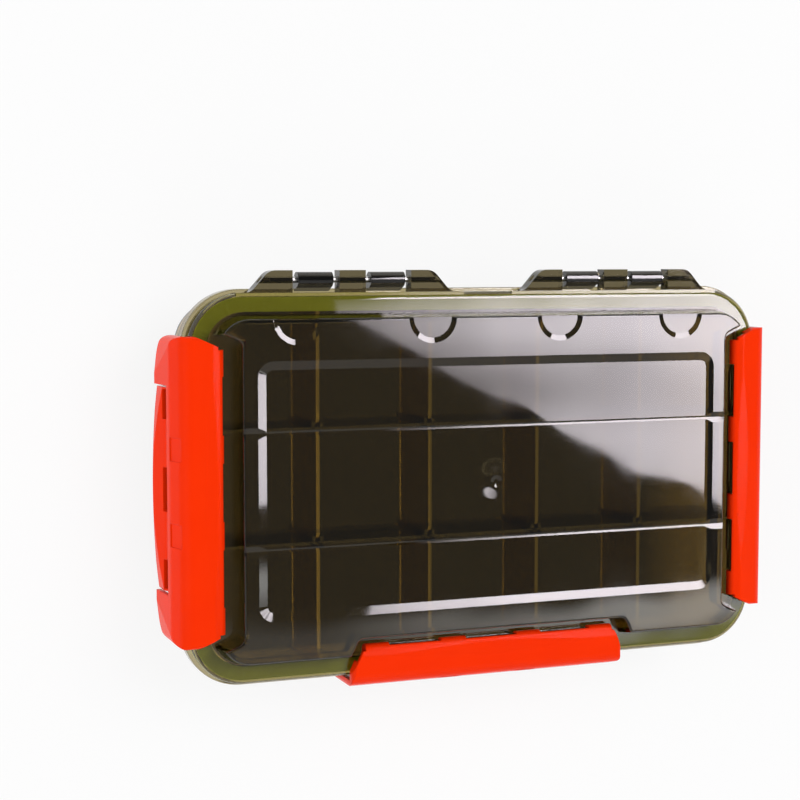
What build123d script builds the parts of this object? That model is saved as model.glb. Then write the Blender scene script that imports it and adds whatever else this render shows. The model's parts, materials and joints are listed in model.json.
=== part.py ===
from build123d import *
from math import radians, tan
import os

# Tackle box: a shallow compartment tray under a sealed lid, hinged at the back,
# with one pull-up latch at the left, the right and the front.
# Millimetres. X runs along the box, +Y points to the hinges, Z = 0 is the underside.

# Rim, where lid and tray meet
rim_length = 260.0
rim_depth = 159.0
rim_corner = 23.0
rim_top = 40.0
rim_round = 3.0
skirt_height = 6.8
parting_gap = 0.2

# Tray
wall = 2.0
wall_inset = 3.0
wall_draft = 1.0
floor_thickness = 2.0
floor_round = 1.5
base_round = 2.4
flange_reach = 1.5
flange_height = 6.0
flange_skirt = 1.6
flange_round = 0.6

# Rows, compartments and removable dividers
partition_spacing = 47.4
partition_thickness = 1.4
compartments_per_row = 5
divider_thickness = 1.5
divider_gap = 0.3
divider_drop = 0.6
divider_corner = 3.0
slot_rib_width = 1.4
slot_rib_depth = 1.4
slot_rib_drop = 1.0

# Lid
lid_wall = 2.0
skirt_wall = 1.8
panel_inset = 8.6
panel_rise = 9.5
panel_plate = 2.2
panel_draft = 10.0
panel_round = 1.0
notch_depth = 9.8
front_notch_depth = 7.0
notch_slope = 0.45
notch_round = 2.0
notch_beyond_latch = 1.0
frame_end_inset = 26.0
frame_side_inset = 27.0
frame_corner = 6.5
frame_slope = 3.6
frame_drop = 0.6
groove_depth = 0.29
groove_half_width = 0.75
moon_count = 4
moon_end_inset = 43.0
moon_radius = 10.6
moon_slope = 2.2
moon_drop = 0.5
gate_radius = 2.6
gate_depth = 0.5
gate_floor_radius = 0.9
gate_nub_radius = 0.5
gate_nub_height = 0.3

# Seal
gasket_width = 5.6
gasket_thickness = 2.0
gasket_clearance = 0.2
gasket_lip = 1.2
gasket_lip_height = 1.6

# Lid hinges
hinge_end_inset = 69.5
hinge_plate_length = 87.0
hinge_plate_slant = 8.0
hinge_plate_round = 6.0
hinge_plate_back = 3.8
hinge_plate_drop = 0.5
hinge_drop = 3.8
barrel_radius = 3.1
barrel_length = 15.0
barrel_pitch = 31.4
barrel_cutout = 20.0
barrel_to_flange = 0.6
hinge_pin_diameter = 2.6
hinge_pin_inset = 9.0

# Latches
latch_corner_margin = 17.0
latch_wall = 2.0
latch_height = 31.5
latch_axis_in = 11.0
latch_knuckle_radius = 2.6
latch_over_rim = 0.2
latch_ridge_out = 2.4
latch_ridge_rise = 0.5
latch_ridge_round = 3.0
latch_bend_out = 3.0
latch_bend_drop = 1.6
latch_bend_round = 7.0
latch_shoulder_out = 6.2
latch_shoulder_drop = 12.4
latch_shoulder_round = 12.0
latch_face_out = 7.6
latch_slant = 5.4
latch_slant_in = 2.0
latch_end_taper = 1.8
latch_end_round = 3.5
latch_foot_round = 9.0
latch_to_flange = 0.4
end_block = 20.5
end_cap = 2.2
slit = 0.9
scoop_length = 90.0
scoop_depth = 0.45
lip_reach = 1.4
lip_end_drop = 1.2
lip_height = 9.5
lip_edge = 1.4
strip_height = 6.0
strip_depth = 0.6
window_inset = 7.3
window_height = 6.8
window_width = 12.0
middle_window_width = 18.0
mark_length = 9.4
mark_height = 8.0
mark_depth = 0.5
bead_reach = 0.3
bead_height = 4.5

# Latch pins and the lugs of the lid that hold them
tooth_length = 11.2
tooth_gap = 0.5
lug_radius = 1.7
lug_stem = 2.4
lug_gap = 0.25
lug_cover_angle = 132.0
latch_pin_diameter = 1.6
latch_pin_inset = 3.0

# Fits
running_clearance = 0.05
pin_fit = 0.02

# Heights that follow from the sizes above
rim_under = rim_top - lid_wall
wall_top = rim_under - gasket_thickness
skirt_bottom = rim_top - skirt_height
flange_top = skirt_bottom - parting_gap
flange_bottom = flange_top - flange_height
panel_top = rim_top + panel_rise
hinge_z = rim_top - hinge_drop
hinge_plate_top = rim_top - hinge_plate_drop
latch_axis_z = rim_top + latch_over_rim + latch_knuckle_radius
latch_ridge_z = latch_axis_z + latch_knuckle_radius + latch_ridge_rise
latch_bottom = latch_ridge_z - latch_height

# Places in the tray
wall_run = wall_top * tan(radians(wall_draft))
pocket_depth = wall_top - floor_thickness
pocket_run = pocket_depth * tan(radians(wall_draft))
pocket_inset = wall_inset + wall + pocket_run
pocket_length = rim_length - 2 * pocket_inset
pocket_back = rim_depth / 2 - pocket_inset
partition_y = partition_spacing / 2
partition_foot = partition_thickness + 2 * pocket_run
compartment = pocket_length / compartments_per_row
divider_places = [compartment * n - pocket_length / 2 for n in range(1, compartments_per_row)]

# Places on the hinges
rim_back = rim_depth / 2
hinge_y = rim_back + flange_reach + barrel_to_flange + barrel_radius
hinge_x = rim_length / 2 - hinge_end_inset
hinge_centres = {"left": -hinge_x, "right": hinge_x}
barrel_centres = [x + turn * barrel_pitch / 2 for x in hinge_centres.values() for turn in (-1, 1)]
hinge_pin_length = hinge_plate_length - 2 * hinge_pin_inset

# Places on a latch, all three of which are the same moulding
latch_length = rim_depth - 2 * latch_corner_margin
latch_middle = latch_length - 2 * end_block
window_pitch = latch_middle / 2 - window_inset
lug_places = [-window_pitch, 0.0, window_pitch]
latch_opening = window_pitch - tooth_length
latch_axis = (-latch_axis_in, latch_axis_z)
flange_clear = flange_reach + latch_to_flange

# Each latch side as a plane: local x points outwards from the rim, local y along it
sides = {
    "left": Plane(origin=(-rim_length / 2, 0, 0), x_dir=(-1, 0, 0), z_dir=(0, 0, 1)),
    "right": Plane(origin=(rim_length / 2, 0, 0), x_dir=(1, 0, 0), z_dir=(0, 0, 1)),
    "front": Plane(origin=(0, -rim_depth / 2, 0), x_dir=(0, -1, 0), z_dir=(0, 0, 1)),
}


def rim_outline(inset, mode=Mode.ADD):
    """Rounded rectangle that runs along the rim at a distance inside it."""
    return RectangleRounded(
        rim_length - 2 * inset, rim_depth - 2 * inset, rim_corner - inset, mode=mode
    )


def cross_section(side, along=0.0):
    """Upright plane across one side: local x points outwards, local y points up."""
    origin = side.from_local_coords((0, along, 0))
    return Plane(origin=origin, x_dir=side.x_dir, z_dir=-side.y_dir)


def soften(sketch, outline, inward):
    """Round the ridge, bend and shoulder of a latch outline that runs a distance inside the outer one."""
    radii = (latch_ridge_round, latch_bend_round, latch_shoulder_round)
    for corner, radius in zip(outline[1:4], radii):
        fillet(sketch.vertices().sort_by_distance((*corner, 0))[0], radius=radius - inward)


def save(part, name):
    """Label a finished piece and write it to its own file."""
    part.label = name
    export_step(part, f"parts/{name}.step")


os.makedirs("parts", exist_ok=True)

# Flange of the tray: a gutter turned over under the lid's skirt
with BuildPart() as flange:
    with BuildSketch(Plane.XY.offset(flange_bottom)):
        rim_outline(-flange_reach)
    extrude(amount=flange_height)
    fillet(flange.edges().filter_by(Axis.Z, reverse=True), radius=flange_round)
    with BuildSketch(Plane.XY.offset(flange_bottom)):
        rim_outline(wall_inset + wall / 2)
    extrude(amount=flange_height, mode=Mode.SUBTRACT)
    with BuildSketch(Plane.XY.offset(flange_bottom)):
        rim_outline(flange_skirt - flange_reach)
        rim_outline(wall_inset, mode=Mode.SUBTRACT)
    extrude(amount=flange_height - flange_skirt, mode=Mode.SUBTRACT)

# Tray: drafted walls around three long rows, with slot ribs and hinge barrels
with BuildPart() as base_tray:
    with BuildSketch():
        rim_outline(wall_inset + wall_run)
    extrude(amount=wall_top, taper=-wall_draft)
    fillet(base_tray.faces().sort_by(Axis.Z)[0].edges(), radius=base_round)

    # the long partitions are what the three rows leave standing
    with BuildSketch(Plane.XY.offset(floor_thickness)):
        rim_outline(pocket_inset)
        with Locations((0, -partition_y), (0, partition_y)):
            Rectangle(rim_length, partition_foot, mode=Mode.SUBTRACT)
    extrude(amount=pocket_depth, taper=-wall_draft, mode=Mode.SUBTRACT)
    row_floors = base_tray.faces().filter_by_position(Axis.Z, floor_thickness, floor_thickness)
    fillet(row_floors.edges(), radius=floor_round)

    # a pair of slot ribs for each end of each divider
    rib_shift = divider_thickness / 2 + divider_gap + slot_rib_width / 2
    rib_xs = [place + turn * rib_shift for place in divider_places for turn in (-1, 1)]
    rib_height = pocket_depth - slot_rib_drop
    rib_root = pocket_run + wall / 2
    rib_wall_y = pocket_back + (rib_root - slot_rib_depth) / 2
    upright = (Align.CENTER, Align.CENTER, Align.MIN)
    with Locations(*[(x, y, floor_thickness) for x in rib_xs for y in (-partition_y, partition_y)]):
        Box(slot_rib_width, partition_foot + 2 * slot_rib_depth, rib_height, align=upright)
    with Locations(*[(x, y, floor_thickness) for x in rib_xs for y in (-rib_wall_y, rib_wall_y)]):
        Box(slot_rib_width, slot_rib_depth + rib_root, rib_height, align=upright)

    add(flange.part)

    # hinge barrels, each on an arm that grows out of the flange
    with BuildSketch(*[Plane.YZ.offset(x) for x in barrel_centres]):
        with Locations((hinge_y, hinge_z)):
            Circle(barrel_radius)
        with Locations((rim_back + flange_reach, flange_bottom + flange_round)):
            Rectangle(
                flange_skirt,
                flange_height - flange_skirt,
                align=(Align.MAX, Align.MIN),
            )
        make_hull()
    extrude(amount=barrel_length / 2, both=True)
    with BuildSketch(Plane.YZ):
        with Locations((hinge_y, hinge_z)):
            Circle(hinge_pin_diameter / 2 + pin_fit)
    extrude(amount=rim_length / 2, both=True, mode=Mode.SUBTRACT)
save(base_tray.part, "base_tray")


def panel_block(margin, bottom, top):
    """The lid's raised panel with a notch where each latch lies, or the hollow a margin inside it."""
    notch_half = latch_length / 2 + notch_beyond_latch
    with BuildPart() as block:
        with BuildSketch(Plane.XY.offset(bottom)):
            rim_outline(panel_inset + margin)
        extrude(amount=top - bottom, taper=panel_draft)
        for name, side in sides.items():
            depth = front_notch_depth if name == "front" else notch_depth
            notch_plan = [
                (-panel_inset - depth, notch_half - notch_slope * depth),
                (0, notch_half + notch_slope * panel_inset),
            ]
            with BuildSketch(side.offset(bottom)) as notch:
                Polygon(*notch_plan, *[(u, -v) for u, v in reversed(notch_plan)], align=None)
                offset(amount=margin, kind=Kind.INTERSECTION)
                fillet(notch.vertices().group_by(Axis.X)[0], radius=notch_round)
            extrude(amount=top - bottom, taper=-panel_draft, mode=Mode.SUBTRACT)
    return block


# Lid: rim plate with a skirt, raised panel, latch lugs and hinge plates
raised_panel = panel_block(0, rim_top, panel_top)
panel_hollow = panel_block(lid_wall, rim_under, panel_top - panel_plate)
with BuildPart() as lid:
    with BuildSketch(Plane.XY.offset(skirt_bottom)):
        rim_outline(0)
    extrude(amount=skirt_height)
    fillet(lid.faces().sort_by(Axis.Z)[-1].edges(), radius=rim_round)
    with BuildSketch(Plane.XY.offset(skirt_bottom)):
        rim_outline(skirt_wall)
    extrude(amount=rim_under - skirt_bottom, mode=Mode.SUBTRACT)

    # inner lip that keeps the seal in its channel
    lip_inset = skirt_wall + 2 * gasket_clearance + gasket_width
    with BuildSketch(Plane.XY.offset(rim_under - gasket_lip_height)):
        rim_outline(lip_inset)
        rim_outline(lip_inset + gasket_lip, mode=Mode.SUBTRACT)
    extrude(amount=gasket_lip_height)

    # raised panel and the hollow under it
    add(raised_panel.part)
    fillet(lid.faces().sort_by(Axis.Z)[-1].edges(), radius=panel_round)
    add(panel_hollow.part, mode=Mode.SUBTRACT)

    # sunk frame in the middle of the panel
    frame_length = rim_length - 2 * frame_end_inset
    frame_depth = rim_depth - 2 * frame_side_inset
    with BuildSketch(Plane.XY.offset(panel_top)):
        RectangleRounded(frame_length, frame_depth, frame_corner)
    with BuildSketch(Plane.XY.offset(panel_top - frame_drop)):
        RectangleRounded(
            frame_length - 2 * frame_slope, frame_depth - 2 * frame_slope, frame_corner - frame_slope
        )
    loft(mode=Mode.SUBTRACT)

    # two grooves over the long partitions
    groove_bottom = panel_top - frame_drop - groove_depth
    groove_mouth = groove_half_width * (frame_drop + groove_depth) / groove_depth
    with BuildSketch(Plane.YZ):
        with Locations((-partition_y, groove_bottom), (partition_y, groove_bottom)):
            Polygon(
                (0, 0),
                (groove_mouth, panel_top - groove_bottom),
                (-groove_mouth, panel_top - groove_bottom),
                align=None,
            )
    extrude(amount=rim_length / 2, both=True, mode=Mode.SUBTRACT)

    # half-moon hollows along the hinge side
    panel_edge = rim_back - panel_inset - panel_rise * tan(radians(panel_draft))
    moon_span = rim_length - 2 * moon_end_inset
    moon_places = [moon_span * (n / (moon_count - 1) - 1 / 2) for n in range(moon_count)]
    with Locations(*[(x, panel_edge, panel_top) for x in moon_places]):
        Cone(
            moon_radius - moon_slope,
            moon_radius,
            moon_drop,
            align=(Align.CENTER, Align.CENTER, Align.MAX),
            mode=Mode.SUBTRACT,
        )

    # moulding gate in the middle, a dimple with a nub
    gate_floor = panel_top - frame_drop - gate_depth
    with Locations((0, 0, gate_floor)):
        Cone(
            gate_floor_radius,
            gate_radius,
            gate_depth,
            align=(Align.CENTER, Align.CENTER, Align.MIN),
            mode=Mode.SUBTRACT,
        )
        Cylinder(gate_nub_radius, gate_nub_height, align=(Align.CENTER, Align.CENTER, Align.MIN))

    # lugs that carry the latch pins
    for side in sides.values():
        with BuildSketch(*[cross_section(side, along) for along in lug_places]):
            with Locations(latch_axis):
                Circle(lug_radius)
                Rectangle(lug_stem, latch_axis_z - rim_under, align=(Align.CENTER, Align.MAX))
        extrude(amount=latch_opening / 2 - tooth_gap, both=True)
        with BuildSketch(cross_section(side)):
            with Locations(latch_axis):
                Circle(latch_pin_diameter / 2 + pin_fit)
        extrude(amount=latch_length / 2, both=True, mode=Mode.SUBTRACT)

    # hinge plates with a cut-out for each barrel of the tray
    plate_half = hinge_plate_length / 2
    plate_reach = hinge_y + hinge_plate_back
    for centre in hinge_centres.values():
        with BuildSketch(Plane.XY.offset(skirt_bottom)) as plate:
            with Locations((centre, 0)):
                Polygon(
                    (-plate_half - hinge_plate_round, rim_back - skirt_wall),
                    (-plate_half - hinge_plate_round, rim_back),
                    (-plate_half, rim_back),
                    (hinge_plate_slant - plate_half, plate_reach),
                    (plate_half - hinge_plate_slant, plate_reach),
                    (plate_half, rim_back),
                    (plate_half + hinge_plate_round, rim_back),
                    (plate_half + hinge_plate_round, rim_back - skirt_wall),
                    align=None,
                )
            fillet(plate.vertices().group_by(Axis.Y)[-1], radius=hinge_plate_round)
            plate_feet = plate.vertices().group_by(Axis.Y)[1].sort_by(Axis.X)[1:-1]
            fillet(plate_feet, radius=hinge_plate_round)
        extrude(amount=hinge_plate_top - skirt_bottom)
    with Locations(*[(x, rim_back, skirt_bottom) for x in barrel_centres]):
        Box(
            barrel_cutout,
            plate_reach,
            skirt_height,
            align=(Align.CENTER, Align.MIN, Align.MIN),
            mode=Mode.SUBTRACT,
        )
    with BuildSketch(Plane.YZ):
        with Locations((hinge_y, hinge_z)):
            Circle(hinge_pin_diameter / 2 + running_clearance)
    extrude(amount=rim_length / 2, both=True, mode=Mode.SUBTRACT)
save(lid.part, "lid")

# Seal: a flat ring in the channel of the lid's rim, pressed on the tray's top edge
with BuildPart() as lid_gasket:
    with BuildSketch(Plane.XY.offset(wall_top)):
        rim_outline(skirt_wall + gasket_clearance)
        rim_outline(skirt_wall + gasket_clearance + gasket_width, mode=Mode.SUBTRACT)
    extrude(amount=gasket_thickness)
save(lid_gasket.part, "lid_gasket")

# Hinge pins, held by the barrels of the tray
for name, centre in hinge_centres.items():
    with BuildPart() as hinge_pin:
        with BuildSketch(Plane.YZ.offset(centre)):
            with Locations((hinge_y, hinge_z)):
                Circle(hinge_pin_diameter / 2)
        extrude(amount=hinge_pin_length / 2, both=True)
    save(hinge_pin.part, f"hinge_pin_{name}")

# Latch outside, outwards from the rim and up: knuckle, ridge, bend, shoulder, foot
latch_ridge_u = latch_ridge_out - latch_axis_in
latch_reach_in = latch_axis_in + latch_knuckle_radius
knuckle_top = latch_axis_z + latch_knuckle_radius
bend_z = latch_ridge_z - latch_bend_drop
shoulder_z = latch_ridge_z - latch_shoulder_drop
latch_outside = [
    (-latch_axis_in, knuckle_top),
    (latch_ridge_u, latch_ridge_z),
    (latch_bend_out, bend_z),
    (latch_shoulder_out, shoulder_z),
    (latch_face_out, latch_bottom),
]
latch_inside = [
    (-latch_reach_in, knuckle_top - latch_wall),
    (latch_ridge_u, latch_ridge_z - latch_wall),
    (latch_bend_out - latch_wall, bend_z - latch_wall),
    (latch_shoulder_out - latch_wall, shoulder_z),
    (latch_face_out - latch_wall, latch_bottom),
]
# Back of the latch, clear of the flange and the rim, and the open side of its hollow
latch_back = [
    (flange_clear, latch_bottom),
    (flange_clear, rim_top + latch_over_rim),
    (-latch_axis_in, rim_top + latch_over_rim),
]
hollow_back = [
    (latch_face_out - latch_wall, 0),
    (0, 0),
    (0, rim_top),
    (-latch_reach_in, rim_top),
]
strip_bottom = latch_bottom + lip_height
strip_top = strip_bottom + strip_height
strip_face = latch_shoulder_out - strip_depth
lip_profile = [
    (strip_face - latch_wall, strip_bottom + lip_edge),
    (strip_face, strip_bottom + lip_edge),
    (latch_shoulder_out, strip_bottom),
    (latch_face_out + lip_reach, latch_bottom + lip_edge),
    (latch_face_out + lip_reach - lip_edge, latch_bottom),
    (strip_face - latch_wall, latch_bottom),
]
mark_slope = (latch_shoulder_out - latch_bend_out) / (bend_z - shoulder_z)
mark_foot = latch_shoulder_out - mark_depth
mark_profile = [
    (mark_foot, shoulder_z),
    (mark_foot - mark_slope * mark_height, shoulder_z + mark_height),
    (latch_face_out, shoulder_z + mark_height),
    (latch_face_out, shoulder_z),
]
bead_z = flange_bottom - bead_height / 2
bead_profile = [
    (strip_face - latch_wall / 2, bead_z + bead_height / 2),
    (flange_reach + bead_reach, bead_z),
    (strip_face - latch_wall / 2, bead_z - bead_height / 2),
]
lug_room = lug_radius + lug_gap

for name, side in sides.items():
    # Pull lip, bowed outwards between the two end blocks
    with BuildPart() as pull_lip:
        with BuildSketch(cross_section(side)):
            Polygon(*lip_profile, align=None)
        extrude(amount=latch_middle / 2, both=True)
        with BuildSketch(side):
            with BuildLine():
                lip_end = latch_face_out - lip_end_drop
                Polyline(
                    (lip_end, -latch_middle / 2),
                    (0, -latch_middle / 2),
                    (0, latch_middle / 2),
                    (lip_end, latch_middle / 2),
                )
                ThreePointArc(
                    (lip_end, latch_middle / 2),
                    (latch_face_out + lip_reach, 0),
                    (lip_end, -latch_middle / 2),
                )
            make_face()
        extrude(amount=panel_top, mode=Mode.INTERSECT)

    with BuildPart() as latch:
        with BuildSketch(cross_section(side)) as block:
            Polygon(*latch_outside, *latch_back, align=None)
            soften(block, latch_outside, 0)
        extrude(amount=latch_length / 2, both=True)

        # the ends slant in towards the panel, with rounded corners
        half = latch_length / 2
        plan = [
            (-latch_reach_in, half - latch_slant),
            (-latch_slant_in, half),
            (latch_face_out - latch_end_taper, half),
            (latch_face_out + lip_reach, window_pitch),
        ]
        with BuildSketch(side) as outline:
            Polygon(*plan, *[(u, -v) for u, v in reversed(plan)], align=None)
            for u, v in plan[1:3]:
                for corner in ((u, v), (u, -v)):
                    fillet(outline.vertices().sort_by_distance((*corner, 0))[0], radius=latch_end_round)
        extrude(amount=panel_top, mode=Mode.INTERSECT)
        upright_face = Plane(origin=side.origin, x_dir=side.y_dir, z_dir=side.x_dir)
        with BuildSketch(upright_face) as outline:
            with Locations((0, latch_bottom)):
                Rectangle(latch_length, latch_height, align=(Align.CENTER, Align.MIN))
            fillet(outline.vertices().group_by(Axis.Y)[0], radius=latch_foot_round)
            fillet(outline.vertices().group_by(Axis.Y)[-1], radius=latch_end_round)
        extrude(amount=rim_corner, both=True, mode=Mode.INTERSECT)

        # hollow between the webs at the two ends
        with BuildSketch(cross_section(side)) as hollow:
            Polygon(*latch_inside, *hollow_back, align=None)
            soften(hollow, latch_inside, latch_wall)
        extrude(amount=half - end_cap, both=True, mode=Mode.SUBTRACT)

        # bowed scoop along the ridge, for the palm
        with BuildSketch(upright_face):
            with BuildLine():
                ThreePointArc(
                    (-scoop_length / 2, latch_ridge_z),
                    (0, latch_ridge_z - scoop_depth),
                    (scoop_length / 2, latch_ridge_z),
                )
                Polyline(
                    (scoop_length / 2, latch_ridge_z),
                    (scoop_length / 2, panel_top),
                    (-scoop_length / 2, panel_top),
                    (-scoop_length / 2, latch_ridge_z),
                )
            make_face()
        extrude(amount=-latch_axis_in, mode=Mode.SUBTRACT)

        # the middle of the finger wall: recessed strip with windows over the pull lip
        with BuildSketch(side.offset(latch_bottom)):
            with Locations((strip_face, 0)):
                Rectangle(latch_face_out, latch_middle, align=(Align.MIN, Align.CENTER))
        extrude(amount=strip_top - latch_bottom, mode=Mode.SUBTRACT)
        add(pull_lip.part)
        with BuildSketch(cross_section(side)):
            Polygon(*bead_profile, align=None)
        extrude(amount=latch_middle / 2, both=True)
        with BuildSketch(side.offset(strip_top - window_height)):
            with Locations((strip_face, -window_pitch), (strip_face, window_pitch)):
                Rectangle(4 * latch_wall, window_width)
            with Locations((strip_face, 0)):
                Rectangle(4 * latch_wall, middle_window_width)
        extrude(amount=window_height, mode=Mode.SUBTRACT)
        with BuildSketch(side.offset(latch_bottom)):
            with Locations((latch_face_out, -latch_middle / 2), (latch_face_out, latch_middle / 2)):
                Rectangle(2 * latch_face_out, slit)
        extrude(amount=strip_top - latch_bottom, mode=Mode.SUBTRACT)

        # square marks above the strip
        with BuildSketch(*[cross_section(side, turn * window_pitch / 2) for turn in (-1, 1)]):
            Polygon(*mark_profile, align=None)
        extrude(amount=mark_length / 2, both=True, mode=Mode.SUBTRACT)

        # knuckle on the pin, with room under the cover for each lug of the lid
        with BuildSketch(cross_section(side)):
            with Locations(latch_axis):
                Circle(latch_knuckle_radius)
        extrude(amount=half - latch_slant, both=True)
        with BuildSketch(*[cross_section(side, along) for along in lug_places]):
            with Locations(latch_axis):
                Circle(lug_room)
                Rectangle(2 * lug_room, latch_axis_z - rim_top, align=(Align.CENTER, Align.MAX))
                Polygon(
                    (0, 0),
                    (panel_rise / tan(radians(lug_cover_angle)), panel_rise),
                    (-panel_rise, panel_rise),
                    (-panel_rise, -panel_rise),
                    (0, -panel_rise),
                    align=None,
                )
        extrude(amount=latch_opening / 2, both=True, mode=Mode.SUBTRACT)
        with BuildSketch(cross_section(side)):
            with Locations(latch_axis):
                Circle(latch_pin_diameter / 2 + running_clearance)
        extrude(amount=latch_length / 2, both=True, mode=Mode.SUBTRACT)
    save(latch.part, f"latch_{name}")

    # Pin of the latch, held by the lid's lugs
    with BuildPart() as latch_pin:
        with BuildSketch(cross_section(side)):
            with Locations(latch_axis):
                Circle(latch_pin_diameter / 2)
        extrude(amount=latch_length / 2 - latch_slant - latch_pin_inset, both=True)
    save(latch_pin.part, f"latch_pin_{name}")

# Removable dividers, four to a row, standing in the slots
middle_half = partition_y - partition_foot / 2
row_spans = {
    "front": (-pocket_back, -partition_y - partition_foot / 2),
    "middle": (-middle_half, middle_half),
    "back": (partition_y + partition_foot / 2, pocket_back),
}
divider_height = pocket_depth - divider_drop
for row, (near_y, far_y) in row_spans.items():
    for number, place in enumerate(divider_places, start=1):
        with BuildPart() as divider:
            with BuildSketch(Plane.YZ.offset(place)) as blade:
                with Locations(((near_y + far_y) / 2, floor_thickness)):
                    Rectangle(
                        far_y - near_y - 2 * divider_gap,
                        divider_height,
                        align=(Align.CENTER, Align.MIN),
                    )
                fillet(blade.vertices().group_by(Axis.Z)[0], radius=divider_corner)
            extrude(amount=divider_thickness / 2, both=True)
        save(divider.part, f"divider_{row}_{number}")
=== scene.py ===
"""Looks of the tackle box: finishes for its plastic, rubber and wire pieces, studio and camera."""
import json
import logging
import math
from dataclasses import dataclass, field
from enum import Enum

import bpy
from mathutils import Matrix, Vector

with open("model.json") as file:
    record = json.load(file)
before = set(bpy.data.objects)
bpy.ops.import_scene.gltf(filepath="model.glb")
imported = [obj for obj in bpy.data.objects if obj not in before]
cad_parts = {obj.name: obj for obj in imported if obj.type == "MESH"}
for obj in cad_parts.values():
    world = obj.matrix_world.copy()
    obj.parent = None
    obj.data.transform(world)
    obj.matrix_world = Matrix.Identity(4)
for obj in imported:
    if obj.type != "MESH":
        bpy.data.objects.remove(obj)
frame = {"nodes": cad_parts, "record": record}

LOG = logging.getLogger("tackle_box")
MM = 0.001
FAR = 1.0  # metres, well outside the box
NOISE_SPAN = (0.3, 0.7)  # most values of a noise lie in it
WHITE = (1.0, 1.0, 1.0, 1.0)

Colour = tuple[float, float, float]
Point = tuple[float, float, float]
Span = tuple[float, float]


class Slot(Enum):
    """Finishes named in the part's record."""

    TRAY = "smoked_tray"
    LID = "smoked_lid"
    DIVIDER = "smoked_divider"
    LATCH = "orange_latch"
    SEAL = "olive_seal"
    PIN = "steel_pin"


class Side(Enum):
    """Sides of the box that carry a latch."""

    LEFT = "left"
    RIGHT = "right"
    FRONT = "front"


class NodeGraph:
    """Short way to place and join the nodes of one material or world."""

    def __init__(self, owner: bpy.types.ID) -> None:
        """Starts an empty node tree.

        Args:
            owner: material or world whose tree is built.
        """
        owner.use_nodes = True
        self.tree = owner.node_tree
        self.tree.nodes.clear()

    def add(self, kind: str, links: dict | None = None, **settings: object) -> bpy.types.Node:
        """Adds a node, sets its properties and input values, and joins its inputs.

        Args:
            kind: node type without the ShaderNode prefix.
            links: input name or number to a value or an output socket.
            **settings: node properties.

        Returns:
            The new node.
        """
        node = self.tree.nodes.new(f"ShaderNode{kind}")
        for name, value in settings.items():
            setattr(node, name, value)
        for name, value in (links or {}).items():
            socket = node.inputs[name]
            if isinstance(value, bpy.types.NodeSocket):
                self.tree.links.new(value, socket)
            else:
                socket.default_value = value
        return node

    def join(self, value: object, socket: bpy.types.NodeSocket) -> None:
        """Joins an output to an input, or sets the input to a plain colour or number."""
        if isinstance(value, bpy.types.NodeSocket):
            self.tree.links.new(value, socket)
        else:
            socket.default_value = (*value, 1.0) if isinstance(value, tuple) else value

    def math(self, operation: str, *values: object) -> bpy.types.NodeSocket:
        """Adds a Math node and returns its value.

        Args:
            operation: Math operation.
            *values: numbers or output sockets, in order.

        Returns:
            The result's socket.
        """
        return self.add("Math", dict(enumerate(values)), operation=operation).outputs[0]

    def vector(self, operation: str, *values: object) -> bpy.types.NodeSocket:
        """Adds a Vector Math node and returns its vector.

        Args:
            operation: Vector Math operation.
            *values: vectors or output sockets, in order.

        Returns:
            The result's socket.
        """
        return self.add("VectorMath", dict(enumerate(values)), operation=operation).outputs[0]

    def measure(self, operation: str, *values: object) -> bpy.types.NodeSocket:
        """Adds a Vector Math node and returns its number.

        Args:
            operation: Vector Math operation whose result is a number.
            *values: vectors or output sockets, in order.

        Returns:
            The result's socket.
        """
        return self.add("VectorMath", dict(enumerate(values)), operation=operation).outputs["Value"]

    def place(self) -> bpy.types.NodeSocket:
        """Adds the piece's own coordinates, in metres, and returns their socket."""
        return self.add("TexCoord").outputs["Object"]

    def noise(
        self, scale: float, detail: float = 2.0, stretch: Point = (1.0, 1.0, 1.0)
    ) -> bpy.types.NodeSocket:
        """Adds noise on the piece's own coordinates.

        Args:
            scale: waves per metre, about.
            detail: octaves.
            stretch: scale of the pattern along each axis.

        Returns:
            The noise value's socket.
        """
        turned = self.add("Mapping", {"Vector": self.place(), "Scale": stretch}).outputs[0]
        return self.add("TexNoise", {"Vector": turned, "Scale": scale, "Detail": detail}).outputs[0]

    def spread(self, value: bpy.types.NodeSocket, low: float, high: float) -> bpy.types.NodeSocket:
        """Maps noise around one half to a range of values.

        Args:
            value: noise socket.
            low: result for dark noise.
            high: result for bright noise.

        Returns:
            The mapped value's socket.
        """
        dark, bright = NOISE_SPAN
        links = {"Value": value, "From Min": dark, "From Max": bright, "To Min": low, "To Max": high}
        return self.add("MapRange", links).outputs[0]

    def ramp(self, value: bpy.types.NodeSocket, start: float, end: float) -> bpy.types.NodeSocket:
        """Rises from 0 to 1 between two values.

        Args:
            value: socket that is compared.
            start: value at which the result leaves 0.
            end: value at which the result reaches 1.

        Returns:
            The result's socket.
        """
        return self.add("MapRange", {"Value": value, "From Min": start, "From Max": end}).outputs[0]

    def mix_colour(self, factor: object, first: object, second: object) -> bpy.types.NodeSocket:
        """Blends two colours.

        Args:
            factor: number or socket, 0 for the first colour.
            first: colour or socket.
            second: colour or socket.

        Returns:
            The blended colour's socket.
        """
        node = self.add("Mix", data_type="RGBA")
        # the node's colour sockets go by number, because sockets of other types share their names
        for number, value in ((0, factor), (6, first), (7, second)):
            self.join(value, node.inputs[number])
        return node.outputs[2]

    def output(self, surface: bpy.types.NodeSocket, kind: str = "OutputMaterial") -> None:
        """Joins a shader to the tree's output."""
        self.add(kind, {"Surface": surface})


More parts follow.
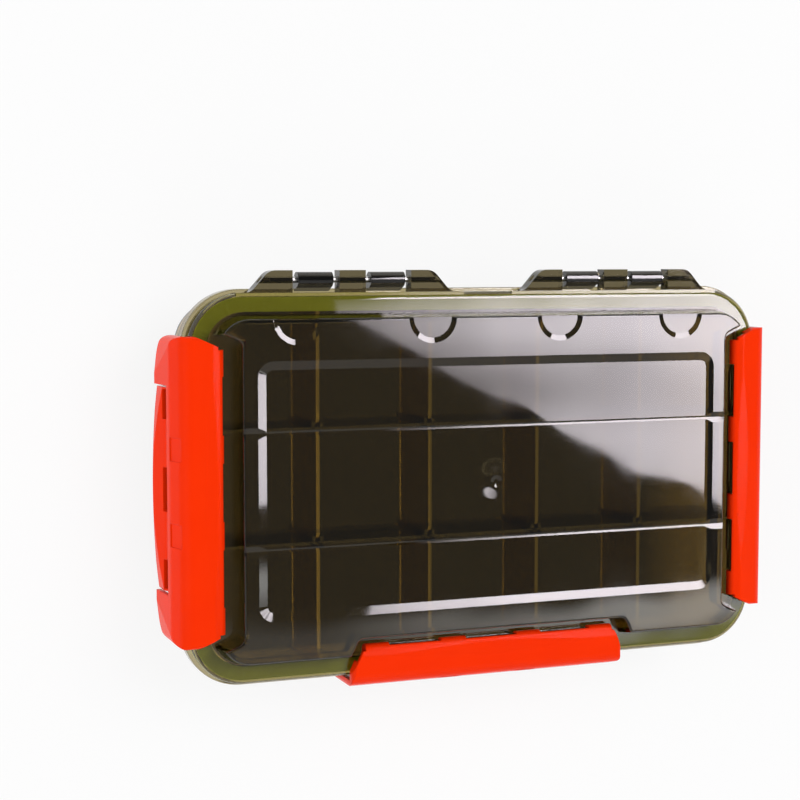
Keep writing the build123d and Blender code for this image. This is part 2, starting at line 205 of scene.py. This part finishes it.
@dataclass(frozen=True)
class Zone:
    """Box around part of a moulding whose tint differs from the rest, for a thicker or thinner wall or for
    painted light.

    Attributes:
        tint: share of light that passes a wall there.
        low: lowest corner of the box, in metres.
        high: highest corner of the box, in metres.
        corner: radius of the box's edges, in metres.
        blend: width of the change of tint, in metres.
    """

    tint: Colour
    low: Point = (-FAR, -FAR, -FAR)
    high: Point = (FAR, FAR, FAR)
    corner: float = 0.0
    blend: float = 0.4 * MM

    def share(self, graph: NodeGraph) -> bpy.types.NodeSocket:
        """Adds the nodes that tell how far a point is inside the box.

        Args:
            graph: tree of the finish.

        Returns:
            A socket that is 1 inside the box and 0 outside.
        """
        middle = tuple((low + high) / 2 for low, high in zip(self.low, self.high))
        half = tuple((high - low) / 2 - self.corner for low, high in zip(self.low, self.high))
        place = graph.vector("SUBTRACT", graph.place(), middle)
        past = graph.vector("SUBTRACT", graph.vector("ABSOLUTE", place), half)
        past = graph.vector("MAXIMUM", past, (0.0, 0.0, 0.0))
        return graph.ramp(graph.measure("LENGTH", past), self.corner + self.blend, self.corner)


@dataclass(frozen=True)
class Relief:
    """Slight unevenness of a moulded face, in metres.

    Attributes:
        warp: height of the slow waves.
        wave: waves per metre.
        sink: depth of the sink mark around the moulding gate.
        sink_radius: radius of that mark.
        lean: rise per metre of the hinge plates towards their tips.
        lean_from: place on the Y axis where the hinge plates begin.
    """

    warp: float = 0.02 * MM
    wave: float = 25.0
    sink: float = 0.0
    sink_radius: float = 8.0 * MM
    lean: float = 0.0
    lean_from: float = 80.0 * MM

    def height(self, graph: NodeGraph) -> bpy.types.NodeSocket:
        """Adds the nodes of the relief.

        Args:
            graph: tree of the finish.

        Returns:
            The height's socket, in metres.
        """
        height = graph.math("MULTIPLY", graph.noise(self.wave, detail=1.0), self.warp)
        place = graph.add("SeparateXYZ", {0: graph.place()})
        x, y = place.outputs["X"], place.outputs["Y"]
        if self.sink:
            square = graph.math("ADD", graph.math("MULTIPLY", x, x), graph.math("MULTIPLY", y, y))
            bowl = graph.math("EXPONENT", graph.math("DIVIDE", square, -self.sink_radius**2))
            height = graph.math("SUBTRACT", height, graph.math("MULTIPLY", bowl, self.sink))
        if self.lean:
            reach = graph.math("MAXIMUM", graph.math("SUBTRACT", y, self.lean_from), 0.0)
            height = graph.math("ADD", height, graph.math("MULTIPLY", reach, self.lean))
        return height


@dataclass(frozen=True)
class SmokedPlastic:
    """Clear smoked plastic, tinted where light passes through a wall.

    Attributes:
        slot: finish in the record.
        tint: share of light that passes a wall of common thickness.
        zones: parts of the moulding with another tint, the later over the earlier.
        relief: unevenness of the moulded face.
        cloud: cloudy patches of the tint per metre.
        cloud_gain: how much more light the palest patches pass.
        gloss: roughness of the clean surface.
        wear: least and most roughness, as shares of the gloss.
        handling: patches of more or less gloss per metre.
        ior: index of refraction.
        painted_edge_glow: light that a thin sheet carries up to its top edge.
        glow_facing: how far upwards a face looks that counts as a top edge.
    """

    slot: Slot
    tint: Colour
    zones: tuple[Zone, ...] = ()
    relief: Relief = Relief()
    cloud: float = 18.0
    cloud_gain: float = 1.12
    gloss: float = 0.03
    wear: Span = (0.7, 1.6)
    handling: float = 60.0
    ior: float = 1.53
    # painted_edge_glow: painted glow of a thin sheet's top edge, in the tint's colour, standing in for
    # light that the sheet carries up to it. glow_facing: how far upwards a face looks that gets the
    # painted glow.
    painted_edge_glow: float = 0.0
    glow_facing: float = 0.7

    def material(self) -> bpy.types.Material:
        """Builds the finish.

        Returns:
            The material, with lamp light let through its walls.
        """
        made = bpy.data.materials.new(f"{self.slot.value}_finish")
        graph = NodeGraph(made)
        # the relief's heights are in metres, so the bump takes them as they are
        bump = graph.add("Bump", {"Height": self.relief.height(graph), "Distance": 1.0, "Strength": 1.0})
        least, most = (share * self.gloss for share in self.wear)
        rough = graph.spread(graph.noise(self.handling, detail=4.0), least, most)
        plastic = graph.add("BsdfPrincipled", {
            "Roughness": rough, "IOR": self.ior, "Transmission Weight": 1.0, "Normal": bump.outputs[0],
        })
        # painted glow: faces that look upwards glow in the tint's colour, though no lamp lights them
        if self.painted_edge_glow:
            facing = graph.add("SeparateXYZ", {0: graph.add("TexCoord").outputs["Normal"]}).outputs["Z"]
            top = graph.math("GREATER_THAN", facing, self.glow_facing)
            plastic.inputs["Emission Color"].default_value = (*self.tint, 1.0)
            graph.join(graph.math("MULTIPLY", top, self.painted_edge_glow), plastic.inputs["Emission Strength"])
        # a wall has two faces, so each face passes the square root of the tint
        root = graph.add("Gamma", {"Gamma": 0.5})
        through = graph.add("BsdfTransparent", {"Color": root.outputs[0]})
        for socket in (plastic.inputs["Base Color"], root.inputs["Color"]):
            graph.join(self._tint(graph), socket)
        lamp = graph.add("LightPath").outputs["Is Shadow Ray"]
        both = graph.add("MixShader", {0: lamp, 1: plastic.outputs[0], 2: through.outputs[0]})
        graph.output(both.outputs[0])
        return made

    def _tint(self, graph: NodeGraph) -> bpy.types.NodeSocket:
        """Adds the tint, slightly cloudy, with each zone blended over the common one.

        Args:
            graph: tree of the finish.

        Returns:
            The tint's socket.
        """
        pale = tuple(min(1.0, self.cloud_gain * share) for share in self.tint)
        tint = graph.mix_colour(graph.noise(self.cloud), self.tint, pale)
        for zone in self.zones:
            tint = graph.mix_colour(zone.share(graph), tint, zone.tint)
        return tint


@dataclass(frozen=True)
class LatchPlastic:
    """Bright orange-red moulded plastic with a satin gloss.

    Attributes:
        slot: finish in the record.
        colour: clean colour.
        deep: colour of the slightly denser flow marks.
        flow: flow marks per metre.
        gloss: roughness of the clean surface.
        wear: least and most roughness, as shares of the gloss.
        handling: patches of more or less gloss per metre.
        grain: grains of the mould's surface per metre.
        grain_depth: depth of the grains, in metres.
        grain_share: strength of the grain.
        edge: radius of the worn edges, in metres.
        edge_samples: samples of the worn edges.
        ior: index of refraction.
        specular: level of the mirrored light.
    """

    slot: Slot = Slot.LATCH
    colour: Colour = (0.92, 0.033, 0.001)
    deep: Colour = (0.86, 0.026, 0.001)
    flow: float = 35.0
    gloss: float = 0.17
    wear: Span = (0.8, 1.3)
    handling: float = 90.0
    grain: float = 2600.0
    grain_depth: float = 0.02 * MM
    grain_share: float = 0.35
    edge: float = 0.6 * MM
    edge_samples: int = 6
    ior: float = 1.45
    specular: float = 0.05

    def material(self) -> bpy.types.Material:
        """Builds the finish and returns its material."""
        made = bpy.data.materials.new(f"{self.slot.value}_finish")
        graph = NodeGraph(made)
        colour = graph.mix_colour(graph.noise(self.flow), self.colour, self.deep)
        worn = graph.add("Bevel", {"Radius": self.edge}, samples=self.edge_samples).outputs[0]
        bump = graph.add("Bump", {
            "Height": graph.noise(self.grain), "Distance": self.grain_depth, "Strength": self.grain_share,
            "Normal": worn,
        })
        least, most = (share * self.gloss for share in self.wear)
        rough = graph.spread(graph.noise(self.handling, detail=4.0), least, most)
        plastic = graph.add("BsdfPrincipled", {
            "Base Color": colour, "Roughness": rough, "IOR": self.ior, "Specular IOR Level": self.specular,
            "Normal": bump.outputs[0],
        })
        graph.output(plastic.outputs[0])
        return made


@dataclass(frozen=True)
class SealRubber:
    """Olive silicone of the seal ring.

    Attributes:
        slot: finish in the record.
        colour: clean colour.
        deep: colour of the darker patches.
        patches: darker patches per metre.
        gloss: roughness.
        grain: grains of the surface per metre.
        grain_depth: depth of the grains, in metres.
        grain_share: strength of the grain.
    """

    slot: Slot = Slot.SEAL
    colour: Colour = (0.46, 0.47, 0.085)
    deep: Colour = (0.36, 0.37, 0.06)
    patches: float = 120.0
    gloss: float = 0.5
    grain: float = 1500.0
    grain_depth: float = 0.03 * MM
    grain_share: float = 0.5

    def material(self) -> bpy.types.Material:
        """Builds the finish and returns its material."""
        made = bpy.data.materials.new(f"{self.slot.value}_finish")
        graph = NodeGraph(made)
        colour = graph.mix_colour(graph.noise(self.patches, detail=3.0), self.colour, self.deep)
        bump = graph.add("Bump", {
            "Height": graph.noise(self.grain), "Distance": self.grain_depth, "Strength": self.grain_share,
        })
        rubber = graph.add("BsdfPrincipled", {
            "Base Color": colour, "Roughness": self.gloss, "Normal": bump.outputs[0],
        })
        graph.output(rubber.outputs[0])
        return made


@dataclass(frozen=True)
class DrawnWire:
    """Plain drawn steel wire of the pins.

    Attributes:
        slot: finish in the record.
        colour: reflected colour.
        streaks: drawing streaks per metre.
        stretch: scale of the streaks along each axis.
        gloss: least and most roughness.
    """

    slot: Slot = Slot.PIN
    colour: Colour = (0.62, 0.61, 0.59)
    streaks: float = 900.0
    stretch: Point = (0.02, 1.0, 1.0)
    gloss: Span = (0.22, 0.42)

    def material(self) -> bpy.types.Material:
        """Builds the finish and returns its material."""
        made = bpy.data.materials.new(f"{self.slot.value}_finish")
        graph = NodeGraph(made)
        rough = graph.spread(graph.noise(self.streaks, 3.0, self.stretch), *self.gloss)
        steel = graph.add("BsdfPrincipled", {
            "Base Color": (*self.colour, 1.0), "Metallic": 1.0, "Roughness": rough,
        })
        graph.output(steel.outputs[0])
        return made


def dress(slot: Slot, material: bpy.types.Material, ending: str = "") -> None:
    """Gives the CAD nodes of one slot their finish.

    Args:
        slot: finish in the record.
        material: finish for the only material slot of each node.
        ending: last part of the node's name, for one node of several.
    """
    for part in frame["record"]["subparts"]:
        if part["material_slot"] == slot.value and part["node"].endswith(ending):
            frame["nodes"][part["node"]].material_slots[0].material = material
            LOG.info("dressed %s in %s", part["node"], material.name)


@dataclass
class Tray:
    """Tray moulding with its removable dividers, and the wires of the hinges and latches.

    Attributes:
        floor_top: height to which the tray's floor reaches.
        painted_light_inset: distance from the middle at which the floor's painted light is strongest.
        painted_light_blend: length over which the painted light grows towards the ends.
        flange_bottom: height from which the flange thickens the wall.
        barrel_front: place on the Y axis where the thick hinge barrels begin.
        floor_tint: share of light that passes the floor.
        painted_end_light: share of light that passes the floor at the two ends, paler than the floor's as
            painted light for light coming in through the end walls.
        wall_tint: share of light that passes a wall.
        flange_tint: share of light that passes the flange.
        barrel_tint: share of light that passes a barrel.
        divider_tint: share of light that passes a divider.
        painted_edge_glow: painted glow of a divider's top edge, standing in for light that the divider
            carries up to it.
    """

    floor_top: float = 3.0 * MM
    painted_light_inset: float = 118.0 * MM
    painted_light_blend: float = 22.0 * MM
    flange_bottom: float = 27.0 * MM
    barrel_front: float = 81.5 * MM
    floor_tint: Colour = (0.14, 0.115, 0.06)
    painted_end_light: Colour = (0.50, 0.36, 0.13)
    wall_tint: Colour = (0.62, 0.46, 0.20)
    flange_tint: Colour = (0.42, 0.36, 0.20)
    barrel_tint: Colour = (0.03, 0.027, 0.02)
    divider_tint: Colour = (0.80, 0.60, 0.20)
    painted_edge_glow: float = 0.6

    def dress(self) -> None:
        """Dresses the moulding, the dividers and the wires."""
        zones = (
            # painted light: the floor is paler towards both ends, for light that comes in through the end
            # walls
            Zone(self.painted_end_light, low=(self.painted_light_inset, -FAR, -FAR), blend=self.painted_light_blend),
            Zone(self.painted_end_light, high=(-self.painted_light_inset, FAR, FAR), blend=self.painted_light_blend),
            Zone(self.wall_tint, low=(-FAR, -FAR, self.floor_top)),
            Zone(self.flange_tint, low=(-FAR, -FAR, self.flange_bottom)),
            Zone(self.barrel_tint, low=(-FAR, self.barrel_front, -FAR)),
        )
        dress(Slot.TRAY, SmokedPlastic(Slot.TRAY, self.floor_tint, zones).material())
        # painted glow on the dividers' top edges, though no lamp lights them
        sheet = SmokedPlastic(Slot.DIVIDER, self.divider_tint, painted_edge_glow=self.painted_edge_glow)
        dress(Slot.DIVIDER, sheet.material())
        dress(Slot.PIN, DrawnWire().material())


@dataclass
class Lid:
    """Lid moulding with its seal.

    Attributes:
        rim_top: height above which the raised panel begins.
        panel_blend: height over which the rim's tint gives way to the panel's.
        hinge_front: place on the Y axis where the hinge plates begin.
        seal_inside: half the length and depth of the area inside the seal.
        seal_corner: corner radius of that area.
        rim_tint: share of light that passes the thin rim.
        panel_tint: share of light that passes the panel.
        warp: height of the slow waves of the moulded face.
        wave: waves per metre.
        sink: depth of the sink mark around the gate.
        sink_radius: radius of that mark.
        lean: rise per metre of the hinge plates towards their tips.
    """

    rim_top: float = 40.3 * MM
    panel_blend: float = 1.3 * MM
    hinge_front: float = 79.6 * MM
    seal_inside: Span = (122.2 * MM, 71.7 * MM)
    seal_corner: float = 16.0 * MM
    rim_tint: Colour = (0.72, 0.70, 0.36)
    panel_tint: Colour = (0.14, 0.115, 0.06)
    warp: float = 0.3 * MM
    wave: float = 17.0
    sink: float = 0.4 * MM
    sink_radius: float = 8.5 * MM
    lean: float = 0.09

    def dress(self) -> None:
        """Dresses the moulding and the seal."""
        length, depth = self.seal_inside
        panel_bottom = self.rim_top + self.panel_blend
        zones = (
            Zone(self.panel_tint, (-length, -depth, -FAR), (length, depth, FAR), self.seal_corner),
            Zone(self.panel_tint, low=(-FAR, -FAR, panel_bottom), blend=self.panel_blend),
            Zone(self.panel_tint, low=(-FAR, self.hinge_front, -FAR)),
        )
        relief = Relief(self.warp, self.wave, self.sink, self.sink_radius, self.lean, self.hinge_front)
        dress(Slot.LID, SmokedPlastic(Slot.LID, self.rim_tint, zones, relief).material())
        dress(Slot.SEAL, SealRubber().material())


@dataclass
class Latch:
    """One of the three pull-up latches.

    Attributes:
        side: side of the box that carries it.
        plastic: material that all three are moulded from.
    """

    side: Side
    plastic: bpy.types.Material

    def dress(self) -> None:
        """Dresses the latch."""
        dress(Slot.LATCH, self.plastic, self.side.value)


@dataclass(frozen=True)
class Lamp:
    """Soft lamp aimed at the box, not mirrored by it.

    Attributes:
        name: name of the lamp.
        towards: direction from the box to the lamp.
        power: strength, in watts.
        size: width of its square face, in metres.
        distance: how far it is from the box, in metres.
    """

    name: str
    towards: Point
    power: float
    size: float = 2.0
    distance: float = 3.0

    def place(self) -> None:
        """Hangs the lamp."""
        way = Vector(self.towards).normalized()
        bpy.ops.object.light_add(type="AREA", location=way * self.distance)
        seat = bpy.context.object
        seat.name = self.name
        seat.rotation_euler = way.to_track_quat("Z", "Y").to_euler()
        seat.data.size = self.size
        seat.data.energy = self.power
        seat.visible_glossy = False
        seat.visible_transmission = False


@dataclass(frozen=True)
class Seam:
    """Dim line across the card.

    Attributes:
        rise: its place up from the picture's middle, as a slope from the line of sight.
        sharpness: how narrow it is.
        depth: share of the light that it takes where it is darkest.
    """

    rise: float
    sharpness: float
    depth: float

    def loss(self, graph: NodeGraph, rise: bpy.types.NodeSocket) -> bpy.types.NodeSocket:
        """Adds the nodes of the seam.

        Args:
            graph: tree of the card's cloth.
            rise: place on the card.

        Returns:
            The socket of the share of light that is lost.
        """
        off = graph.math("SUBTRACT", rise, self.rise)
        power = graph.math("MULTIPLY", graph.math("MULTIPLY", off, off), -self.sharpness)
        return graph.math("MULTIPLY", graph.math("EXPONENT", power), self.depth)


@dataclass
class Studio:
    """White sweep, soft lamps, one large card that the lid mirrors, and the camera.

    Slopes are from the line of sight for the card, and from upright for the surround.

    Attributes:
        eye: place of the lens.
        target: point in the middle of the picture.
        lens: focal length, in millimetres.
        sensor: width of the sensor, in millimetres.
        mirror_height: height of the lid's top, which mirrors the card.
        floor_drop: gap between the tray's underside and the floor.
        floor_radius: radius of the flat floor.
        floor_sides: sides of the round floor.
        floor_glow: share of the floor's white that needs no lamp.
        paper: colour of the floor's paper.
        sweep_height: height of the sweep's rim.
        sweep_steps: steps of the sweep's curve.
        card_outline: corners of the card as the lid shows them, as slopes right and up.
        card_distance: how far the card is behind the lid's mirror plane, in metres.
        card_colour: colour of the card's light.
        card_light: least and most brightness of the card.
        card_left: brightness of its left part at the picture's middle, and gain per slope to the right.
        card_right: the same of its right part.
        card_lift: gain of brightness per slope up.
        seams: dim lines across the card.
        seam_fade: how fast the seams fade per slope to the right.
        top_rise: slopes up between which the card's dim upper left begins.
        top_across: slopes to the right between which that part brightens.
        ambient: brightness of the studio all around.
        ceiling: brightness of the dark ceiling that the lid mirrors.
        horizon: least height of a direction that still counts for its slope.
        front: brightness of the pale front that the lid mirrors.
        front_span: slopes to the front between which the pale front begins.
        strip: brightness that a strip along the start of the pale front adds at its right end.
        strip_span: slopes to the right at which the strip begins and is brightest.
        strip_end: slopes to the front at which the strip dims and ends.
        lamps: soft lamps.
    """

    eye: Vector = field(default_factory=lambda: Vector((-0.3036, 0.0935, 0.7190)))
    target: Vector = field(default_factory=lambda: Vector((-0.0431, 0.0354, 0.048)))
    lens: float = 79.3
    sensor: float = 36.0
    mirror_height: float = 49.0 * MM
    floor_drop: float = 0.5 * MM
    floor_radius: float = 3.0
    floor_sides: int = 96
    floor_glow: float = 0.85
    paper: Colour = (0.82, 0.82, 0.82)
    sweep_height: float = 2.2
    sweep_steps: int = 8
    card_outline: tuple[Span, ...] = (
        (0.0645, 0.70), (-0.037, 0.047), (0.184, -0.061), (0.30, -0.047), (0.27, 0.70),
    )
    card_distance: float = 4.0
    card_colour: Colour = (1.0, 0.93, 0.99)
    card_light: Span = (4.0, 18.0)
    card_left: Span = (5.0, 100.0)
    card_right: Span = (9.0, 28.0)
    card_lift: float = 51.0
    seams: tuple[Seam, ...] = (Seam(0.008, 2500.0, 0.8), Seam(0.068, 3500.0, 1.0))
    seam_fade: float = 4.4
    top_rise: Span = (0.38, 0.46)
    top_across: Span = (0.06, 0.165)
    ambient: float = 0.5
    ceiling: float = 0.16
    horizon: float = 0.01
    front: float = 0.7
    front_span: Span = (0.214, 0.224)
    strip: float = 3.2
    strip_span: Span = (0.34, 0.55)
    strip_end: Span = (0.236, 0.252)
    lamps: tuple[Lamp, ...] = (
        Lamp("key_lamp", (0.5, 0.35, 0.8), 42.0),
        Lamp("left_lamp", (-0.9, 0.1, 0.45), 36.0),
        Lamp("front_lamp", (0.1, -0.9, 0.45), 23.0),
    )

    def axes(self) -> tuple[Vector, Vector, Vector]:
        """Gives the camera's directions.

        Returns:
            Right, up and ahead, with the hinge side of the box up in the picture.
        """
        ahead = (self.target - self.eye).normalized()
        right = ahead.cross(Vector((0.0, 1.0, 0.0))).normalized()
        return right, right.cross(ahead), ahead

    def camera(self) -> None:
        """Places the camera."""
        bpy.ops.object.camera_add()
        seat = bpy.context.object
        seat.name = "camera"
        seat.data.lens = self.lens
        seat.data.sensor_width = self.sensor
        right, up, ahead = self.axes()
        turn = Matrix((right, up, -ahead)).transposed()
        seat.matrix_world = Matrix.Translation(self.eye) @ turn.to_4x4()
        bpy.context.scene.camera = seat

    def floor(self) -> None:
        """Models the floor with its swept-up border."""
        bpy.ops.object.select_all(action="DESELECT")
        bpy.ops.mesh.primitive_circle_add(
            vertices=self.floor_sides,
            radius=self.floor_radius,
            fill_type="NGON",
            location=(0, 0, -self.floor_drop),
        )
        sweep = bpy.context.object
        sweep.name = "sweep"
        bpy.ops.object.mode_set(mode="EDIT")
        bpy.ops.mesh.select_all(action="SELECT")
        bpy.ops.mesh.region_to_loop()
        radius = self.floor_radius
        turn = math.pi / 2 / self.sweep_steps
        for step in range(self.sweep_steps):
            angle = turn * (step + 0.5)
            run = self.sweep_height * math.cos(angle) * turn
            rise = self.sweep_height * math.sin(angle) * turn
            bpy.ops.mesh.extrude_edges_move(TRANSFORM_OT_translate={"value": (0, 0, rise)})
            grow = (radius + run) / radius
            bpy.ops.transform.resize(value=(grow, grow, 1), center_override=(0, 0, 0))
            radius += run
        bpy.ops.object.mode_set(mode="OBJECT")
        bpy.ops.object.shade_smooth()
        sweep.data.materials.append(self._white())

    def _white(self) -> bpy.types.Material:
        """Builds the white paper, which shows a soft shadow, and returns its material."""
        made = bpy.data.materials.new("white_paper")
        graph = NodeGraph(made)
        paper = graph.add("BsdfDiffuse", {"Color": (*self.paper, 1.0)})
        glow = graph.add("Emission", {"Color": WHITE, "Strength": 1.0})
        path = graph.add("LightPath")
        seen = graph.math("MAXIMUM", path.outputs["Is Camera Ray"], path.outputs["Is Glossy Ray"])
        seen = graph.math("MAXIMUM", seen, path.outputs["Is Transmission Ray"])
        share = graph.math("MULTIPLY", seen, self.floor_glow)
        both = graph.add("MixShader", {0: share, 1: paper.outputs[0], 2: glow.outputs[0]})
        graph.output(both.outputs[0])
        return made

    def card(self) -> None:
        """Hangs the card where the lid mirrors it into the right half of the picture."""
        flip = Vector((1.0, 1.0, -1.0))
        right, up, ahead = (way * flip for way in self.axes())
        mirrored = Vector((self.eye.x, self.eye.y, 2 * self.mirror_height - self.eye.z))
        bpy.ops.object.select_all(action="DESELECT")
        bpy.ops.mesh.primitive_circle_add(vertices=len(self.card_outline), fill_type="NGON")
        card = bpy.context.object
        card.name = "card"
        for number, (across, rise) in enumerate(self.card_outline):
            goal = mirrored + (ahead + right * across + up * rise) * self.card_distance
            bpy.ops.object.mode_set(mode="EDIT")
            bpy.ops.mesh.select_all(action="DESELECT")
            bpy.ops.object.mode_set(mode="OBJECT")
            corner = card.data.vertices[number]
            corner.select = True
            bpy.ops.object.mode_set(mode="EDIT")
            bpy.ops.transform.translate(value=goal - corner.co)
            bpy.ops.object.mode_set(mode="OBJECT")
        card.visible_camera = card.visible_diffuse = False
        card.visible_transmission = card.visible_shadow = False
        card.data.materials.append(self._cloth(mirrored, right, up))

    def _cloth(self, mirrored: Vector, right: Vector, up: Vector) -> bpy.types.Material:
        """Builds the bright cloth of the card, brighter towards its upper right.

        Args:
            mirrored: mirror image of the lens in the lid.
            right: mirrored direction to the right of the picture.
            up: mirrored direction to the top of the picture.

        Returns:
            The material.
        """
        made = bpy.data.materials.new("card_cloth")
        graph = NodeGraph(made)
        place = graph.vector("SUBTRACT", graph.place(), mirrored)
        across, rise = (
            graph.math("DIVIDE", graph.measure("DOT_PRODUCT", place, way), self.card_distance)
            for way in (right, up)
        )
        parts = [
            graph.math("MULTIPLY_ADD", across, gain, middle)
            for middle, gain in (self.card_left, self.card_right)
        ]
        light = graph.math("MULTIPLY_ADD", rise, self.card_lift, graph.math("MINIMUM", *parts))
        least, most = self.card_light
        light = graph.math("MINIMUM", graph.math("MAXIMUM", light, least), most)
        fade = graph.math("SUBTRACT", 1.0, graph.ramp(across, 0.0, 1.0 / self.seam_fade))
        losses = [graph.math("MULTIPLY", seam.loss(graph, rise), fade) for seam in self.seams]
        unlit = graph.math("SUBTRACT", 1.0, graph.ramp(across, *self.top_across))
        losses.append(graph.math("MULTIPLY", graph.ramp(rise, *self.top_rise), unlit))
        for loss in losses:
            light = graph.math("MULTIPLY", light, graph.math("SUBTRACT", 1.0, loss))
        glow = graph.add("Emission", {"Color": (*self.card_colour, 1.0), "Strength": light})
        graph.output(glow.outputs[0])
        made.cycles.emission_sampling = "NONE"
        return made

    def surround(self) -> None:
        """Lights the studio evenly, and shows the lid a dark ceiling with a pale front."""
        world = bpy.data.worlds.new("studio")
        graph = NodeGraph(world)
        way = graph.add("SeparateXYZ", {0: graph.add("TexCoord").outputs["Generated"]})
        height = graph.math("MAXIMUM", way.outputs["Z"], self.horizon)
        aside = graph.math("DIVIDE", way.outputs["X"], height)
        ahead = graph.math("DIVIDE", way.outputs["Y"], graph.math("MULTIPLY", height, -1.0))
        begun = graph.ramp(ahead, *self.front_span)
        near = graph.math("SUBTRACT", 1.0, graph.ramp(ahead, *self.strip_end))
        strip = graph.math("MULTIPLY", graph.ramp(aside, *self.strip_span), near)
        front = graph.math("MULTIPLY_ADD", strip, self.strip, self.front - self.ceiling)
        shown = graph.math("MULTIPLY_ADD", front, begun, self.ceiling)
        mirrored = graph.add("LightPath").outputs["Is Glossy Ray"]
        strength = graph.add("Mix", {0: mirrored, 2: self.ambient, 3: shown}, data_type="FLOAT").outputs[0]
        sky = graph.add("Background", {"Color": WHITE, "Strength": strength})
        graph.output(sky.outputs[0], "OutputWorld")
        bpy.context.scene.world = world

    def build(self) -> None:
        """Clears the default camera, lamp and cube and sets the whole studio up."""
        for name in ("Camera", "Light", "Cube"):
            if name in bpy.data.objects:
                bpy.data.objects.remove(bpy.data.objects[name])
        self.floor()
        self.card()
        self.surround()
        self.camera()
        for lamp in self.lamps:
            lamp.place()
        bpy.context.scene.view_settings.view_transform = "Standard"


def main() -> None:
    """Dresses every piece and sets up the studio."""
    logging.basicConfig(level=logging.INFO, format="%(name)s: %(message)s")
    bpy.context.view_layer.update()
    plastic = LatchPlastic().material()
    for assembly in (Tray(), Lid(), *[Latch(side, plastic) for side in Side]):
        assembly.dress()
    Studio().build()


if __name__ == "__main__":
    main()
